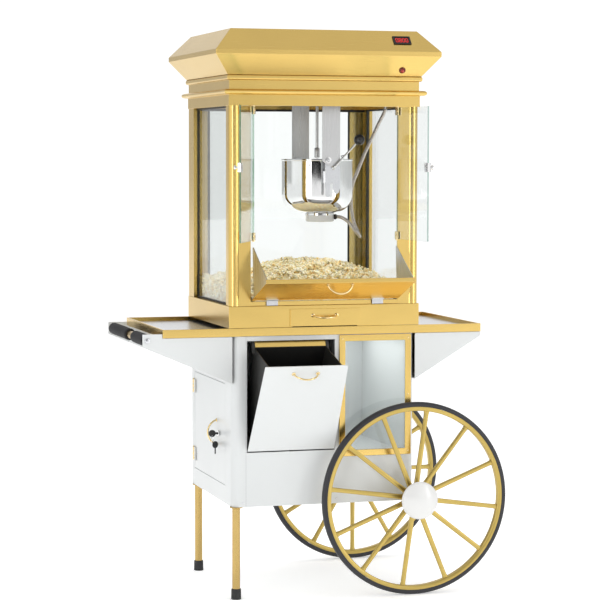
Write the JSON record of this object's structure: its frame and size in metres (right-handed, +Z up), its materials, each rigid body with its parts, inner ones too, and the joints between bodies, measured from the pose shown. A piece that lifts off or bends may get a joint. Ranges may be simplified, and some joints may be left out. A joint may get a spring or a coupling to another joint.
{
  "type": "popcorn cart",
  "caption": "Gold kettle popcorn popper with open glass doors on a white two-wheeled cart with side trays, a tilt-out bin, a display window and spoked wheels.",
  "frame": {"origin": "on the floor, under the middle of the whole cart's box as it stands with its doors, flap and bin open", "axes": "+X to the right along the cart's front, towards the wheels; +Y from the front to the rear; +Z up"},
  "size_m": [1.189, 0.9215, 1.8],
  "materials": {
    "gold": "gold-tone anodised, brushed along its length",
    "brass": "polished",
    "white": "semi-gloss white enamel",
    "steel": "brushed stainless",
    "chrome": "mirror polished",
    "clear_glass": "clear, polished edges with a green tint",
    "rubber": "matt black",
    "tyre": "satin black solid rubber",
    "foam": "matt black foam",
    "black_plastic": "glossy black",
    "dark_metal": "dark, matt",
    "white_plastic": "glossy white",
    "red_plastic": "translucent red",
    "popcorn": "loose popped corn, cream with yellow patches"
  },
  "bodies": {
    "cart": {"cabinet_frame": "gold", "cart_body": "white", "ceiling_panel": "dark_metal", "display_module": "black_plastic", "foot_front": "rubber", "foot_rear": "rubber", "glass_left": "clear_glass", "glass_rear": "clear_glass", "glass_right": "clear_glass", "grip_front": "foam", "grip_rear": "foam", "handle_bar": "gold", "kettle_conduit": "steel", "kettle_hanger": "steel", "left_wing": "white", "leg_front": "gold", "leg_rear": "gold", "machine_base": "gold", "pilot_lamp": "red_plastic", "popcorn_pile": "popcorn", "right_wing": "white", "roof_hood": "gold", "tray_rim": "gold", "tray_sheet": "steel", "wheel_axle": "steel", "window_frame": "gold", "window_glass": "clear_glass"},
    "drive": {"drive_shaft": "steel"},
    "kettle": {"kettle_pot": "chrome", "kettle_base": "white_plastic", "dump_lever": "chrome", "lever_knob": "black_plastic"},
    "lid": {"kettle_lid": "chrome"},
    "agitator": {"agitator": "steel"},
    "door_left": {"door_left_glass": "clear_glass", "door_left_clamp_top": "brass", "door_left_clamp_bottom": "brass", "door_left_pull": "brass"},
    "door_right": {"door_right_glass": "clear_glass", "door_right_clamp_top": "brass", "door_right_clamp_bottom": "brass", "door_right_pull": "brass"},
    "flap": {"flap_panel": "gold", "flap_liner": "steel", "flap_pull": "brass"},
    "bin": {"bin_front": "white", "bin_tub": "black_plastic", "bin_stop_bar": "gold", "bin_pull": "brass"},
    "side_door": {"side_door": "white", "side_door_pull": "brass"},
    "lock": {"door_key": "black_plastic"},
    "drawer": {"crumb_drawer": "gold", "drawer_pull": "brass"},
    "wheel_front": {"wheel_front": "gold", "tyre_front": "tyre", "hub_cap_front": "white_plastic"},
    "wheel_rear": {"wheel_rear": "gold", "tyre_rear": "tyre", "hub_cap_rear": "white_plastic"}
  },
  "joints": [
    {"name": "door_left_hinge", "type": "hinge", "parent": "cart", "child": "door_left", "pos_m": [-0.2372, -0.22, 1.348], "axis": [0, 0, 1], "range_deg": [0, 115]},
    {"name": "door_right_hinge", "type": "hinge", "parent": "cart", "child": "door_right", "pos_m": [0.2372, -0.22, 1.348], "axis": [0, 0, 1], "range_deg": [-95, 23]},
    {"name": "flap_hinge", "type": "hinge", "parent": "cart", "child": "flap", "pos_m": [0, -0.22, 0.952], "axis": [1, 0, 0], "range_deg": [-69.5, 0]},
    {"name": "bin_hinge", "type": "hinge", "parent": "cart", "child": "bin", "pos_m": [-0.11115, -0.2085, 0.473], "axis": [1, 0, 0], "range_deg": [-32, 0]},
    {"name": "kettle_trunnion", "type": "hinge", "parent": "cart", "child": "kettle", "pos_m": [0.04, 0.0615, 1.39], "axis": [0, 1, 0], "range_deg": [0, 85], "deforming": ["kettle_conduit"]},
    {"name": "kettle_lid_hinge", "type": "hinge", "parent": "kettle", "child": "lid", "pos_m": [0.0736, 0.0615, 1.3935], "axis": [0, 1, 0], "range_deg": [-80, 0]},
    {"name": "agitator_spin", "type": "hinge", "parent": "kettle", "child": "agitator", "pos_m": [0.055, 0.0615, 1.3], "axis": [0, 0, 1], "continuous": true},
    {"name": "drive_spin", "type": "hinge", "parent": "cart", "child": "drive", "pos_m": [0.055, 0.0615, 1.5], "axis": [0, 0, 1], "continuous": true},
    {"name": "drawer_slide", "type": "slide", "parent": "cart", "child": "drawer", "axis": [0, -1, 0], "range_m": [0, 0.25]},
    {"name": "side_door_hinge", "type": "hinge", "parent": "cart", "child": "side_door", "pos_m": [-0.3065, 0.297, 0.517], "axis": [0, 0, -1], "range_deg": [0, 110]},
    {"name": "door_lock_turn", "type": "hinge", "parent": "side_door", "child": "lock", "pos_m": [-0.3065, -0.0465, 0.5125], "axis": [1, 0, 0], "range_deg": [0, 90]},
    {"name": "wheel_front_spin", "type": "hinge", "parent": "cart", "child": "wheel_front", "pos_m": [0.285, -0.2655, 0.31], "axis": [0, 1, 0], "continuous": true},
    {"name": "wheel_rear_spin", "type": "hinge", "parent": "cart", "child": "wheel_rear", "pos_m": [0.285, 0.3885, 0.31], "axis": [0, 1, 0], "continuous": true}
  ],
  "couplings": [
    {"joint": "drive_spin", "follows": "agitator_spin", "ratio": 1}
  ]
}
